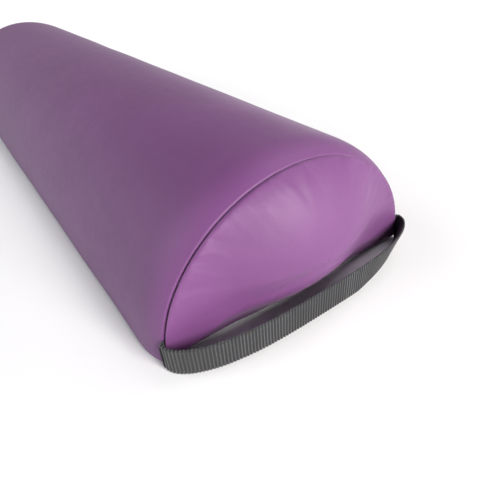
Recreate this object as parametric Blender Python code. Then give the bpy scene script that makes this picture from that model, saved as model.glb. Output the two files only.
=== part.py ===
"""Half-round massage bolster: a foam block in a sewn vinyl cover, with a webbing carry strap and a zipped base.

The row's frame: X runs along the bolster towards the carry strap, Y across it, Z up from the flat base, and the
origin is the middle of the base. Everything is in metres.
"""
import math

import bmesh
import bpy
from mathutils import Matrix

# The cover
LENGTH = 0.660          # between the two end seams
BODY_WIDTH = 0.203      # across the base
BODY_HEIGHT = 0.098     # from the base to the crown
SEAM_WIDTH = 0.192      # across an end seam, where the cover has rolled in
ROLL = 0.035            # the length over which the cover rolls in
BULGE = 0.0220          # how far an end panel crowns past its rim
BULGE_POWER = 1.3       # above 1 the crown eases out towards its rim
CROWN_SHARE = 0.42      # the crown's height, as a share of the seam's
COVER = 0.0012          # the vinyl's thickness
GAP = 0.0003            # between two pieces that touch

# The strap
STRAP_WIDTH = 0.0193
STRAP_THICK = 0.0015
STRAP_BOW = 0.0255      # how far its middle stands off the seam's plane
STRAP_SPAN = 0.097      # half the distance between its ends
STRAP_FREE = 0.064      # half the length that lies down and stands up
STRAP_TUCK = 0.0935     # how far in its sewn ends reach

# The inside
WADDING = 0.005         # the wadding's thickness at the end seams
PAD_INSET = 0.005       # from the end seam in to the end pad's rim
CORE_SHORT = 0.010      # from an end seam to the foam block's end
THREAD = 0.0004         # radius of the seam thread

# The zip
ZIP_Y = 0.045           # its line, towards the back edge so that the middle of the base stays plain
ZIP_HALF = 0.270        # half its length
CHANNEL = 0.006         # half the width of the channel between the two hems
HEM = 0.012             # the width of the folded hem
HEM_THICK = 0.0024
TAPE_WIDTH = 0.016
TAPE_THICK = 0.0006
TEETH_IN = 0.0008       # the teeth's inner and outer sides, and their height
TEETH_OUT = 0.0032
TEETH_HEIGHT = 0.0010
SLIDER_LENGTH = 0.008
SLIDER_WIDTH = 0.0084
SLIDER_PLATE = 0.0007
PULL_LENGTH = 0.026
PULL_WIDTH = 0.0056
LUG_WIDTH = 0.002
PRONG_END = 0.0005      # how far the tab's prongs reach past its hinge line
SLIDER_X = 0.018 - ZIP_HALF     # where the closed zip's slider stands

ARC_STEPS = 24
BASE_STEPS = 8

SEAM_SCALE = SEAM_WIDTH / BODY_WIDTH
SEAM_HEIGHT = BODY_HEIGHT * SEAM_SCALE
SEAM_HALF_GAP = STRAP_THICK / 2 + GAP           # the end seam's parting, which the strap's ends fill
TAPE_LOW = HEM_THICK + GAP
TEETH_TOP = TAPE_LOW - GAP


def clear_scene():
    for item in list(bpy.data.objects):
        bpy.data.objects.remove(item, do_unlink=True)


def material(name, colour, roughness, metallic=0.0):
    made = bpy.data.materials.new(name)
    made.use_nodes = True
    shader = made.node_tree.nodes["Principled BSDF"]
    shader.inputs["Base Color"].default_value = (*colour, 1.0)
    shader.inputs["Roughness"].default_value = roughness
    shader.inputs["Metallic"].default_value = metallic
    return made


def solid(name, points, faces, finish, smooth_angle=35):
    """One object from a closed mesh, its faces turned outwards."""
    mesh = bpy.data.meshes.new(name)
    mesh.from_pydata(points, [], faces)
    work = bmesh.new()
    work.from_mesh(mesh)
    bmesh.ops.recalc_face_normals(work, faces=work.faces)
    work.to_mesh(mesh)
    work.free()
    mesh.shade_smooth()
    mesh.set_sharp_from_angle(angle=math.radians(smooth_angle))
    mesh.materials.append(finish)
    made = bpy.data.objects.new(name, mesh)
    bpy.context.collection.objects.link(made)
    return made


def band(first, second, count):
    """Faces between two rings of as many points each."""
    return [(first + i, first + (i + 1) % count, second + (i + 1) % count, second + i) for i in range(count)]


def loft(name, rings, finish):
    """A solid through rings of points, with a flat cap on the first and the last."""
    count = len(rings[0])
    points = [p for ring in rings for p in ring]
    faces = [f for k in range(len(rings) - 1) for f in band(k * count, (k + 1) * count, count)]
    faces.append(tuple(range(count)))
    faces.append(tuple(range(len(points) - count, len(points))))
    return solid(name, points, faces, finish)


def lens(name, start, rings, end, finish):
    """A solid through rings of points, closed to a point on each side."""
    count = len(rings[0])
    points = [start] + [p for ring in rings for p in ring] + [end]
    last = len(points) - 1
    faces = [f for k in range(len(rings) - 1) for f in band(1 + k * count, 1 + (k + 1) * count, count)]
    faces += [(0, 1 + i, 1 + (i + 1) % count) for i in range(count)]
    faces += [(last, last - count + i, last - count + (i + 1) % count) for i in range(count)]
    return solid(name, points, faces, finish)


def box(name, low, high, finish):
    section = [(low[1], low[2]), (high[1], low[2]), (high[1], high[2]), (low[1], high[2])]
    return loft(name, [[(x, y, z) for y, z in section] for x in (low[0], high[0])], finish)


def tube(name, route, radius, finish):
    """A round thread along a route."""
    curve = bpy.data.curves.new(name, "CURVE")
    curve.dimensions = "3D"
    spline = curve.splines.new("POLY")
    spline.points.add(len(route) - 1)
    for point, place in zip(spline.points, route):
        point.co = (*place, 1.0)
    curve.bevel_depth = radius
    curve.bevel_resolution = 1
    curve.use_fill_caps = True
    curve.materials.append(finish)
    made = bpy.data.objects.new(name, curve)
    bpy.context.collection.objects.link(made)
    return made


def cover_scale(x):
    """The cover's size at x, as a share of its size in the middle."""
    from_seam = LENGTH / 2 - abs(x)
    if from_seam >= ROLL:
        return 1.0
    return SEAM_SCALE + (1 - SEAM_SCALE) * math.sqrt(1 - (1 - from_seam / ROLL) ** 2)


def stations(end):
    """Places along the length, closer together where the cover rolls in."""
    near = [end, LENGTH / 2 - 0.003, LENGTH / 2 - 0.009, LENGTH / 2 - 0.019, LENGTH / 2 - ROLL]
    half = [x for x in near if x <= end] + [0.2, 0.1]
    return [-x for x in half] + [0.0] + half[::-1]


def arc(half_width, height, low=0.0):
    """The arch in the YZ plane, from its front foot to its back foot, cut off at a height."""
    start = math.asin(low / height)
    turn = (math.pi - 2 * start) / ARC_STEPS
    angles = [start + i * turn for i in range(ARC_STEPS + 1)]
    return [(-half_width * math.cos(a), height * math.sin(a)) for a in angles]


def d_ring(inset):
    """The end seam's closed D outline, set in evenly."""
    upper = arc(SEAM_WIDTH / 2 - inset, SEAM_HEIGHT - inset, inset)
    right, left = upper[-1][0], upper[0][0]
    lower = [(right + (left - right) * i / BASE_STEPS, inset) for i in range(1, BASE_STEPS)]
    return upper + lower


def crown(share):
    """How far an end panel stands past its rim, at a share of the way from its crown to its rim."""
    return BULGE * (1 - share ** 2) ** BULGE_POWER


def crown_rings(inset, rim_x, shares, side):
    """Rings of an end's crowned face, from the crown to the rim."""
    middle = CROWN_SHARE * SEAM_HEIGHT
    outline = d_ring(inset)
    return [
        [(side * (rim_x + crown(s)), s * y, middle + s * (z - middle)) for y, z in outline] for s in shares
    ]


def make_top_panel(vinyl):
    rings = []
    for x in stations(LENGTH / 2 - SEAM_HALF_GAP):
        half, height = BODY_WIDTH / 2 * cover_scale(x), BODY_HEIGHT * cover_scale(x)
        section = arc(half, height) + arc(half - COVER, height - COVER)[::-1]
        rings.append([(x, y, z) for y, z in section])
    loft("top_panel", rings, vinyl)


def make_wadding(fibre):
    """Its inner side is the foam block's straight arch, and its outer side follows the cover."""
    foot = HEM_THICK + 0.0016
    inner = arc(SEAM_WIDTH / 2 - COVER - GAP - WADDING, SEAM_HEIGHT - COVER - GAP - WADDING, foot)
    rings = []
    for x in stations(LENGTH / 2 - CORE_SHORT):
        half, height = BODY_WIDTH / 2 * cover_scale(x), BODY_HEIGHT * cover_scale(x)
        section = arc(half - COVER - GAP, height - COVER - GAP, foot) + inner[::-1]
        rings.append([(x, y, z) for y, z in section])
    loft("wadding", rings, fibre)


def make_foam_core(foam):
    """A D-section block with a shallow groove that clears the zip."""
    inset = COVER + GAP + WADDING + GAP
    upper = arc(SEAM_WIDTH / 2 - inset, SEAM_HEIGHT - inset, COVER + GAP)
    groove = CHANNEL + HEM + 0.001
    depth = 0.006
    lower = [(ZIP_Y + groove, COVER + GAP), (ZIP_Y + groove, depth)]
    lower += [(ZIP_Y - groove, depth), (ZIP_Y - groove, COVER + GAP)]
    end = LENGTH / 2 - CORE_SHORT
    loft("foam_core", [[(x, y, z) for y, z in upper + lower] for x in (-end, end)], foam)


def make_base_panel(name, side, vinyl):
    """One half of the base, from the long seam to its folded hem beside the zip."""
    hem_edge, hem_back = ZIP_Y + side * CHANNEL, ZIP_Y + side * (CHANNEL + HEM)
    rings = []
    for x in stations(LENGTH / 2 - SEAM_HALF_GAP):
        outer = side * (BODY_WIDTH / 2 * cover_scale(x) - COVER - GAP)
        section = [(outer, 0), (hem_edge, 0), (hem_edge, HEM_THICK), (hem_back, HEM_THICK)]
        section += [(hem_back, COVER), (outer, COVER)]
        rings.append([(x, y, z) for y, z in section])
    loft(name, rings, vinyl)


def make_end_panel(name, side, vinyl):
    """A crowned shell of even thickness."""
    shares = [0.2, 0.4, 0.6, 0.75, 0.87, 0.95, 1.0]
    rim = LENGTH / 2 + SEAM_HALF_GAP
    outer = crown_rings(0, rim + COVER, shares, side)
    edge = [[(side * rim, y, z) for y, z in d_ring(0)]]
    inner = crown_rings(COVER, rim, shares, side)[::-1]
    middle = CROWN_SHARE * SEAM_HEIGHT
    start = (side * (rim + COVER + BULGE), 0, middle)
    end = (side * (rim + BULGE), 0, middle)
    lens(name, start, outer + edge + inner, end, vinyl)


def make_end_pad(name, side, fibre):
    """The plump pad between the foam block's flat end and the crowned end panel."""
    shares = [0.25, 0.5, 0.7, 0.85, 0.95, 1.0]
    rim = LENGTH / 2 - 0.0015
    front = crown_rings(PAD_INSET, rim, shares, side)
    back = LENGTH / 2 - CORE_SHORT + GAP
    flat = [[(side * back, y, z) for y, z in d_ring(PAD_INSET)]]
    middle = CROWN_SHARE * SEAM_HEIGHT
    lens(name, (side * (rim + BULGE), 0, middle), front + flat, (side * back, 0, middle), fibre)


def make_end_thread(name, side, foot, thread):
    """The sewn arc between the arched panel and an end panel, from foot height to foot height."""
    inset = 0.0006
    route = arc(SEAM_WIDTH / 2 - inset, SEAM_HEIGHT - inset, foot)
    tube(name, [(side * LENGTH / 2, y, z) for y, z in route], 0.0006, thread)


def make_side_thread(name, side, thread):
    """The seam thread inside the corner between the arch and the base."""
    height = COVER + GAP + THREAD
    inset = COVER + GAP + 2 * THREAD
    places = stations(LENGTH / 2 - 0.002)
    tube(name, [(x, side * (BODY_WIDTH / 2 * cover_scale(x) - inset), height) for x in places], THREAD, thread)


def strap_centre(y):
    """How far the strap's middle layer stands off the seam's plane, at y."""
    return STRAP_BOW * math.sqrt(1 - (abs(y) / STRAP_SPAN) ** 3)


def strap_offset(y, away):
    """A point of the strap's plan, set off square to its middle layer."""
    step = 0.00005
    low, high = max(y - step, -STRAP_SPAN), min(y + step, STRAP_SPAN)
    run, rise = high - low, strap_centre(high) - strap_centre(low)
    size = math.hypot(run, rise)
    return (LENGTH / 2 + strap_centre(y) + away * run / size, y - away * rise / size)


def standing(name, plan, webbing):
    """A flat outline in plan, stood up to the strap's width."""
    return loft(name, [[(x, y, z) for x, y in plan] for z in (0, STRAP_WIDTH)], webbing)


def make_strap(webbing):
    """The middle of the strap: its origin is on the lower outer edge, about which it lies down."""
    steps = 16
    spots = [STRAP_FREE * (2 * i / steps - 1) for i in range(steps + 1)]
    half = STRAP_THICK / 2
    plan = [(LENGTH / 2 + strap_centre(y) + half, y) for y in spots]
    plan += [(LENGTH / 2 + strap_centre(y) - half, y) for y in spots[::-1]]
    made = standing("strap", plan, webbing)
    axis_x = LENGTH / 2 + STRAP_BOW + half
    made.data.transform(Matrix.Translation((-axis_x, 0, 0)))
    made.location = (axis_x, 0, 0)


def make_strap_end(name, side, webbing):
    """The webbing from the free stretch to the seam's corner, round the end panel's rim and into the seam."""
    near = STRAP_FREE + GAP
    half = STRAP_THICK / 2
    spots = [near + (0.0955 - near) * (1 - (1 - i / 10) ** 1.6) for i in range(11)]
    outer = [strap_offset(y, half) for y in spots]
    inner = [strap_offset(y, -half) for y in spots]
    outer[0] = (LENGTH / 2 + strap_centre(near) + half, near)
    inner[0] = (LENGTH / 2 + strap_centre(near) - half, near)
    rim = SEAM_WIDTH / 2 + GAP
    fold = [(LENGTH / 2 + 0.0030, rim + 0.0020), (LENGTH / 2 + 0.0006, rim + 0.0020)]
    fold += [(LENGTH / 2 - half, rim + 0.0009), (LENGTH / 2 - half, STRAP_TUCK)]
    fold += [(LENGTH / 2 + half, STRAP_TUCK), (LENGTH / 2 + half, rim), (LENGTH / 2 + 0.0030, rim)]
    plan = [(x, side * y) for x, y in outer + fold + inner[::-1]]
    standing(name, plan, webbing)


def make_bartack(name, side, thread):
    """A dense block of stitches across the strap where it enters the seam."""
    face = side * (SEAM_WIDTH / 2 + GAP + 0.0020 + GAP)
    low, high = sorted((face, face + side * 0.0008))
    box(name, (LENGTH / 2 + 0.0008, low, 0.002), (LENGTH / 2 + 0.0028, high, STRAP_WIDTH - 0.002), thread)


def make_zip(tape, teeth, metal, thread):
    for name, side in (("front", -1), ("back", 1)):
        edges = sorted((ZIP_Y + side * TEETH_IN, ZIP_Y + side * TAPE_WIDTH))
        low, high = (-ZIP_HALF, edges[0], TAPE_LOW), (ZIP_HALF, edges[1], TAPE_LOW + TAPE_THICK)
        box("zip_tape_" + name, low, high, tape)
        edges = sorted((ZIP_Y + side * TEETH_IN, ZIP_Y + side * TEETH_OUT))
        end = ZIP_HALF - 0.006
        low, high = (-end, edges[0], TEETH_TOP - TEETH_HEIGHT), (end, edges[1], TEETH_TOP)
        box("zip_teeth_" + name, low, high, teeth)
        line, height = ZIP_Y + side * (CHANNEL + 0.004), TAPE_LOW + TAPE_THICK + GAP + 0.0003
        tube("zip_thread_" + name, [(x, line, height) for x in (-ZIP_HALF, 0, ZIP_HALF)], 0.0003, thread)
    for name, side in (("top", -1), ("bottom", 1)):
        ends = sorted((side * (ZIP_HALF - 0.006 + GAP), side * (ZIP_HALF - 0.003)))
        low, high = (ends[0], ZIP_Y - TEETH_OUT, 0.0012), (ends[1], ZIP_Y + TEETH_OUT, TEETH_TOP)
        box("zip_" + name + "_stop", low, high, metal)


def make_zip_slider(metal):
    """Two plates either side of the teeth and the tapes, joined by a post, with a lug for the pull tab."""
    wide, post = SLIDER_WIDTH / 2, TEETH_IN - GAP
    under_top = TEETH_TOP - TEETH_HEIGHT - GAP
    over_low = TAPE_LOW + TAPE_THICK + GAP
    rail = TEETH_OUT + GAP
    half = [(post, under_top), (rail, under_top), (rail, TEETH_TOP), (wide, TEETH_TOP)]
    half += [(wide, under_top - SLIDER_PLATE)]
    right = [(post, over_low + SLIDER_PLATE)]
    section = [(wide, over_low + SLIDER_PLATE), (wide, over_low), (post, over_low)] + half
    section += [(-y, z) for y, z in section[::-1]]
    ends = (-SLIDER_LENGTH / 2, SLIDER_LENGTH / 2)
    body = loft("zip_slider", [[(x, y, z) for y, z in section] for x in ends], metal)
    low = under_top - SLIDER_PLATE
    lug = box("lug", (ends[0] - 0.002, -LUG_WIDTH / 2, low), (ends[0] + 0.001, LUG_WIDTH / 2, under_top), metal)
    join = body.modifiers.new("lug", "BOOLEAN")
    join.operation = "UNION"
    join.object = lug
    lug.hide_render = True
    lug.display_type = "WIRE"
    lug.parent = body
    body.location = (SLIDER_X, ZIP_Y, 0)
    return low, under_top


def make_pull_tab(low, high, metal):
    """A flat tab with two prongs either side of the slider's lug: its origin is on its hinge line."""
    hinge_x, hinge_z = SLIDER_X - SLIDER_LENGTH / 2 - 0.0012, (low + high) / 2
    thick, wide, slot = (high - low) / 2, PULL_WIDTH / 2, LUG_WIDTH / 2 + GAP
    plan = [(PRONG_END, slot), (PRONG_END, wide), (0.002 - PULL_LENGTH, wide), (-PULL_LENGTH, wide - 0.0015)]
    plan += [(-PULL_LENGTH, 0.0015 - wide), (0.002 - PULL_LENGTH, -wide), (PRONG_END, -wide)]
    plan += [(PRONG_END, -slot), (-0.0016, -slot), (-0.0016, slot)]
    made = loft("zip_pull_tab", [[(x, y, z) for x, y in plan] for z in (-thick, thick)], metal)
    made.location = (hinge_x, ZIP_Y, hinge_z)


def main():
    clear_scene()
    vinyl = material("vinyl", (0.19, 0.075, 0.22), 0.42)
    foam = material("foam", (0.72, 0.68, 0.52), 0.95)
    fibre = material("fibre", (0.85, 0.85, 0.83), 0.95)
    webbing = material("webbing", (0.020, 0.020, 0.024), 0.70)
    thread = material("thread", (0.10, 0.04, 0.12), 0.60)
    strap_thread = material("strap_thread", (0.016, 0.016, 0.018), 0.60)
    tape = material("zip_tape", (0.06, 0.03, 0.07), 0.85)
    teeth = material("zip_teeth", (0.09, 0.045, 0.10), 0.45)
    metal = material("zip_metal", (0.55, 0.55, 0.56), 0.35, 1.0)
    make_top_panel(vinyl)
    make_base_panel("base_panel_front", -1, vinyl)
    make_base_panel("base_panel_back", 1, vinyl)
    make_wadding(fibre)
    make_foam_core(foam)
    for name, side, foot in (("handle", 1, STRAP_WIDTH + 0.0012), ("far", -1, 0.0010)):
        make_end_panel("end_panel_" + name, side, vinyl)
        make_end_pad("end_pad_" + name, side, fibre)
        make_end_thread("end_thread_" + name, side, foot, thread)
    for name, side in (("front", -1), ("back", 1)):
        make_side_thread("side_thread_" + name, side, thread)
        make_strap_end("strap_end_" + name, side, webbing)
        make_bartack("bartack_" + name, side, strap_thread)
    make_strap(webbing)
    make_zip(tape, teeth, metal, thread)
    make_pull_tab(*make_zip_slider(metal), metal)


main()
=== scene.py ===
"""The bolster's looks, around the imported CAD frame: vinyl cover, sewn seams, webbing strap, zip."""
import math

import bpy
import numpy as np
from mathutils import Matrix, Vector


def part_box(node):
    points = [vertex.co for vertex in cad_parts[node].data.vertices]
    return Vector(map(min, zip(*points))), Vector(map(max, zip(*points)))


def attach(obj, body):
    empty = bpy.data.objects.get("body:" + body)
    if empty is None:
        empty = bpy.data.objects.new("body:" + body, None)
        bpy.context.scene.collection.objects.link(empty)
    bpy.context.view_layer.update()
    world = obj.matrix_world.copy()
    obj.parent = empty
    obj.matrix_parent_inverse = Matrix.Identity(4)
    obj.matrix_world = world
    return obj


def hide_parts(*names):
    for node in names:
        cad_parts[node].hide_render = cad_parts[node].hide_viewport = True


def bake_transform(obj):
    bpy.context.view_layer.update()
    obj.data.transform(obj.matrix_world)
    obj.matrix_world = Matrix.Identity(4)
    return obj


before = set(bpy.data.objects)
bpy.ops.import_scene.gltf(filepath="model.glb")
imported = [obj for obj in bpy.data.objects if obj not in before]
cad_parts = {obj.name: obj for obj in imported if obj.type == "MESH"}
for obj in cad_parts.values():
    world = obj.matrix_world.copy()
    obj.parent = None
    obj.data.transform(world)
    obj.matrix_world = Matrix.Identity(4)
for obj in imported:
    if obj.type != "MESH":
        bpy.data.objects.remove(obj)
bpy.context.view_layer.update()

# ---- sizes: the frame's, then the cover's and the webbing's own
END_LOW, END_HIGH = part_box("end_panel_handle")
TOP_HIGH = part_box("top_panel")[1]
STRAP_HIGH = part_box("strap")[1]
HEM_LOW, HEM_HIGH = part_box("base_panel_back")
TAPE_FRONT, TAPE_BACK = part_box("zip_tape_front"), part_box("zip_tape_back")

SEAM_X = (END_LOW.x + TOP_HIGH.x) / 2  # the end seam's plane
SEAM_HALF = END_HIGH.y
BODY_HALF = TOP_HIGH.y
BODY_HEIGHT = TOP_HIGH.z
CROWN = END_HIGH.x - SEAM_X  # how far an end stands past its seam
ZIP_Y = (TAPE_FRONT[1].y + TAPE_BACK[0].y) / 2
ZIP_HALF = TAPE_FRONT[1].x
CHANNEL = HEM_LOW.y - ZIP_Y  # half the width of the gap between the hems
HEM_TOP = HEM_HIGH.z

ROLL = 0.029  # the length over which the cover rolls in to a seam
PIVOT_Z = 0.010  # the height that the roll shrinks the section towards
SEAM_SCALE = SEAM_HALF / BODY_HALF
SEAM_DROP = 0.0013  # how far the arch's ends lie below the CAD's end panels
TOP_SCALE = (END_HIGH.z - SEAM_DROP - PIVOT_Z) / (BODY_HEIGHT - PIVOT_Z)
CORNER, END_CORNER = 0.004, 0.003  # the lower corners' radius, in the middle and at the ends
SEAM_TURN = math.radians(50)  # how far round the corner the side seam lies
VALLEY = 0.0010  # how deep the cover dips at a seam
VALLEY_HALF = 0.0007  # how wide the dip is, to each side
EDGE_ROLL = 0.0013  # how far an end panel rolls out right beside its seam
LIFT_MIDDLE = 0.0012  # how far an end's lower edge curls up off the floor
LIFT_FRONT, LIFT_BACK = 0.0036, 0.0012  # how much more towards its front and its back corner
VINYL = 0.0011  # the cover's thickness

WEB_HALF = 0.00075  # half the webbing's thickness
STRAP_TOP = STRAP_HIGH.z
STRAP_BOW = STRAP_HIGH.x - SEAM_X - WEB_HALF  # how far the strap's middle layer stands off
STRAP_SPAN = 0.097  # how far from the middle the strap turns in to its tucks
RIB = 0.00205  # the webbing's ribs, from one to the next
STITCH = 0.0046  # a stitch's length with its gap
STITCH_GAP = 0.0011
THREAD = 0.0003  # the sewing thread's radius

CAMERA_TURN = (56.73, 37.18, -4.41)  # round from the side, down, and rolled, in degrees
CAMERA_PLACE = (0.8143, -0.7122, 1.0046)  # from the end seam's foot, in seam widths
CAMERA_LENS = 30.62  # in mm, on a sensor 36 mm wide


# ---- the camera
def make_camera():
    """At the photograph's angle."""
    azimuth, elevation, roll = map(math.radians, CAMERA_TURN)
    flat = math.cos(elevation)
    back = Vector((math.sin(azimuth) * flat, -math.cos(azimuth) * flat, math.sin(elevation)))
    level = Vector((math.cos(azimuth), math.sin(azimuth), 0))
    upright = back.cross(level)
    right = math.cos(roll) * level + math.sin(roll) * upright
    up = -math.sin(roll) * level + math.cos(roll) * upright
    data = bpy.data.cameras.new("camera")
    data.sensor_width = 36
    data.lens = CAMERA_LENS
    place = Vector((SEAM_X, 0, 0)) + 2 * SEAM_HALF * Vector(CAMERA_PLACE)
    made = bpy.data.objects.new("camera", data)
    made.matrix_world = Matrix.Translation(place) @ Matrix((right, up, back)).transposed().to_4x4()
    bpy.context.collection.objects.link(made)
    bpy.context.scene.camera = made


# ---- mesh helpers
def mesh_object(name, points, faces, angle=40):
    """A smooth-shaded object whose edges past an angle in degrees are sharp."""
    mesh = bpy.data.meshes.new(name)
    mesh.from_pydata([tuple(p) for p in points], [], faces)
    mesh.validate()
    mesh.shade_smooth()
    if angle < 180:
        mesh.set_sharp_from_angle(angle=math.radians(angle))
    made = bpy.data.objects.new(name, mesh)
    bpy.context.collection.objects.link(made)
    return made


def grid_faces(rows, columns, closed=False, flip=False):
    """Quads over a grid of points, row after row; closed joins the last column to the first."""
    faces = []
    for r in range(rows - 1):
        for c in range(columns if closed else columns - 1):
            d = (c + 1) % columns
            quad = (r * columns + c, r * columns + d, (r + 1) * columns + d, (r + 1) * columns + c)
            faces.append(quad[::-1] if flip else quad)
    return faces


def end_caps(rows, columns):
    """The two faces that close a closed grid's first and last row."""
    last = (rows - 1) * columns
    return [tuple(range(columns))[::-1], tuple(range(last, last + columns))]


def thicken(piece, thickness):
    """Gives a sheet its thickness, inwards."""
    shell = piece.modifiers.new("thickness", "SOLIDIFY")
    shell.thickness = thickness
    shell.offset = -1
    shell.use_even_offset = False


def tube_points(route, radius, sides):
    """(points, faces) of a round thread along a route, with capped ends."""
    route = np.asarray(route, float)
    ahead = np.roll(route, -1, 0) - np.roll(route, 1, 0)
    ahead[0], ahead[-1] = route[1] - route[0], route[-1] - route[-2]
    ahead /= np.linalg.norm(ahead, axis=1)[:, None]
    side = np.cross(ahead, np.where(np.abs(ahead[:, 2:3]) > 0.9, [[1.0, 0, 0]], [[0, 0, 1.0]]))
    side /= np.linalg.norm(side, axis=1)[:, None]
    over = np.cross(ahead, side)
    turn = np.arange(sides) * 2 * math.pi / sides
    ring = side[:, None] * np.cos(turn)[None, :, None] + over[:, None] * np.sin(turn)[None, :, None]
    radius = np.broadcast_to(radius, len(route))
    points = (route[:, None] + ring * radius[:, None, None]).reshape(-1, 3)
    return points, grid_faces(len(route), sides, closed=True) + end_caps(len(route), sides)


def joined(name, parts, angle=60):
    """One object from several (points, faces)."""
    points, faces, count = [], [], 0
    for some_points, some_faces in parts:
        points.extend(some_points)
        faces.extend(tuple(i + count for i in f) for f in some_faces)
        count += len(some_points)
    return mesh_object(name, points, faces, angle)


def grid_normals(grid):
    """The unit normals of a grid of points, by the differences across and along it."""
    across, along = np.gradient(grid, axis=1), np.gradient(grid, axis=0)
    normal = np.cross(across, along)
    size = np.linalg.norm(normal, axis=2, keepdims=True)
    return normal / np.maximum(size, 1e-12)


def catmull(at, count):
    """The weights that read count even samples at places from 0 to 1, with a smooth curve between them."""
    place = np.clip(np.asarray(at, float), 0, 1) * (count - 1)
    base = np.minimum(place.astype(int), count - 2)
    t = place - base
    shares = [
        (-t + 2 * t**2 - t**3) / 2,
        (2 - 5 * t**2 + 3 * t**3) / 2,
        (t + 4 * t**2 - 3 * t**3) / 2,
        (-(t**2) + t**3) / 2,
    ]
    weights = np.zeros((len(place), count))
    for k, share in enumerate(shares):
        np.add.at(weights, (np.arange(len(place)), np.clip(base + k - 1, 0, count - 1)), share)
    return weights


# ---- cloth
def inflate(points, faces, pinned, growth, pressure, stiffness, cap):
    """How far each point of a sewn-in sheet moves when it is stuffed: a cloth simulation of a cut larger by
    growth, held along its seams and pressed from inside. Returns the moves, none longer than cap."""
    points = np.asarray(points, float)
    sheet = mesh_object("cloth_trial", points, faces, 180)
    seam = sheet.vertex_groups.new(name="seam")
    seam.add([int(i) for i in pinned], 1.0, "REPLACE")
    cloth = sheet.modifiers.new("cloth", "CLOTH")
    settings = cloth.settings
    settings.quality = 6
    settings.mass = 0.25
    settings.tension_stiffness = stiffness
    settings.compression_stiffness = stiffness
    settings.shear_stiffness = stiffness / 2
    settings.bending_stiffness = stiffness / 8
    settings.air_damping = 3
    settings.vertex_group_mass = "seam"
    settings.use_pressure = True
    settings.uniform_pressure_force = pressure
    settings.shrink_min = -growth
    settings.effector_weights.gravity = 0
    cloth.collision_settings.use_collision = False
    cloth.collision_settings.use_self_collision = False
    scene = bpy.context.scene
    frames = 20
    scene.frame_start, scene.frame_end = 1, frames
    for number in range(1, frames + 1):
        scene.frame_set(number)
    shown = sheet.evaluated_get(bpy.context.evaluated_depsgraph_get())
    moved = np.array([v.co for v in shown.data.vertices], float)
    scene.frame_set(1)
    bpy.data.objects.remove(sheet, do_unlink=True)
    moves = np.nan_to_num(moved - points)
    far = np.linalg.norm(moves, axis=1, keepdims=True)
    return moves * np.minimum(1, cap / np.maximum(far, 1e-9))


# ---- the cover's shape
def from_seam(x):
    """The distance from x to the nearest end seam's plane."""
    return np.maximum(SEAM_X - np.abs(x), 0)


def cover_scale(x):
    """The section's size at x, as a share of its size in the middle."""
    near = np.clip(from_seam(x) / ROLL, 0, 1)
    return SEAM_SCALE + (1 - SEAM_SCALE) * (1 - (1 - near) ** 3.2)


def rolled_height(z, scale):
    """A section's height z, drawn in to the pivot's height: more from above it than from below."""
    above = 1 - (1 - scale) * (1 - TOP_SCALE) / (1 - SEAM_SCALE)
    return PIVOT_Z + (z - PIVOT_Z) * np.where(z > PIVOT_Z, above, scale)


def lift(y):
    """How far an end's lower edge curls up at y: a little in the middle, and most just before the corners."""
    far = np.abs(y)
    most = np.where(y < 0, LIFT_FRONT, LIFT_BACK)
    outwards = smooth((far - 0.020) / 0.045)
    before_corner = smooth((SEAM_HALF - 0.0010 - far) / 0.009)
    return (LIFT_MIDDLE + most * outwards) * before_corner


def half_outline(start, corner, steps=240):
    """Half the full-size section in the YZ plane, from the corner, start below level, up to the crown."""
    foot = math.asin(corner / BODY_HEIGHT)
    edge = BODY_HALF * math.cos(foot)
    turns = np.linspace(start, 0, 12)[:-1]
    bend = np.stack([edge - corner + corner * np.cos(turns), corner + corner * np.sin(turns)], 1)
    angles = np.linspace(foot, math.pi / 2, steps)
    arch = np.stack([BODY_HALF * np.cos(angles), BODY_HEIGHT * np.sin(angles)], 1)
    return np.concatenate([bend, arch])


def line_length(line):
    """The length of a line of points."""
    return float(np.linalg.norm(np.diff(line, axis=0), axis=1).sum())


def resampled(line, shares):
    """Points along a line, at shares of its length."""
    steps = np.linalg.norm(np.diff(line, axis=0), axis=1)
    along = np.concatenate([[0], np.cumsum(steps)])
    return np.stack([np.interp(np.asarray(shares) * along[-1], along, line[:, k]) for k in (0, 1)], 1)


def arch_outline(corner):
    """The arched panel's outline at full size, from the front side seam over the crown to the back one."""
    half = half_outline(-SEAM_TURN, corner)
    return np.concatenate([half * [-1, 1], half[::-1][1:]])


def base_outline(corner, hem_y, side):
    """Half the base's outline at full size, from a side seam in to a hem's edge."""
    foot = math.asin(corner / BODY_HEIGHT)
    edge = BODY_HALF * math.cos(foot)
    turns = np.linspace(-SEAM_TURN, -math.pi / 2, 10)
    bend = np.stack([side * (edge - corner + corner * np.cos(turns)), corner + corner * np.sin(turns)], 1)
    return np.concatenate([bend, [[hem_y, 0.0]]])


def swept(middle, end, stations):
    """A section carried along X and rolled in at the ends, where it takes its end shape. Returns a grid of
    stations by outline points."""
    scale = cover_scale(stations)[:, None]
    change = 0.07
    share = np.clip(1 - from_seam(stations) / change, 0, 1)[:, None] ** 2
    y = (middle[None, :, 0] * (1 - share) + end[None, :, 0] * share) * scale
    z = middle[None, :, 1] * (1 - share) + end[None, :, 1] * share
    return np.stack([np.broadcast_to(stations[:, None], y.shape), y, rolled_height(z, scale)], 2)


def dip(distance):
    """How deep the cover turns in at a distance from a seam."""
    return VALLEY * np.exp(-((distance / VALLEY_HALF) ** 1.6))


def smooth(t):
    """A soft step from 0 to 1."""
    t = np.clip(t, 0, 1)
    return t * t * (3 - 2 * t)


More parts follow.
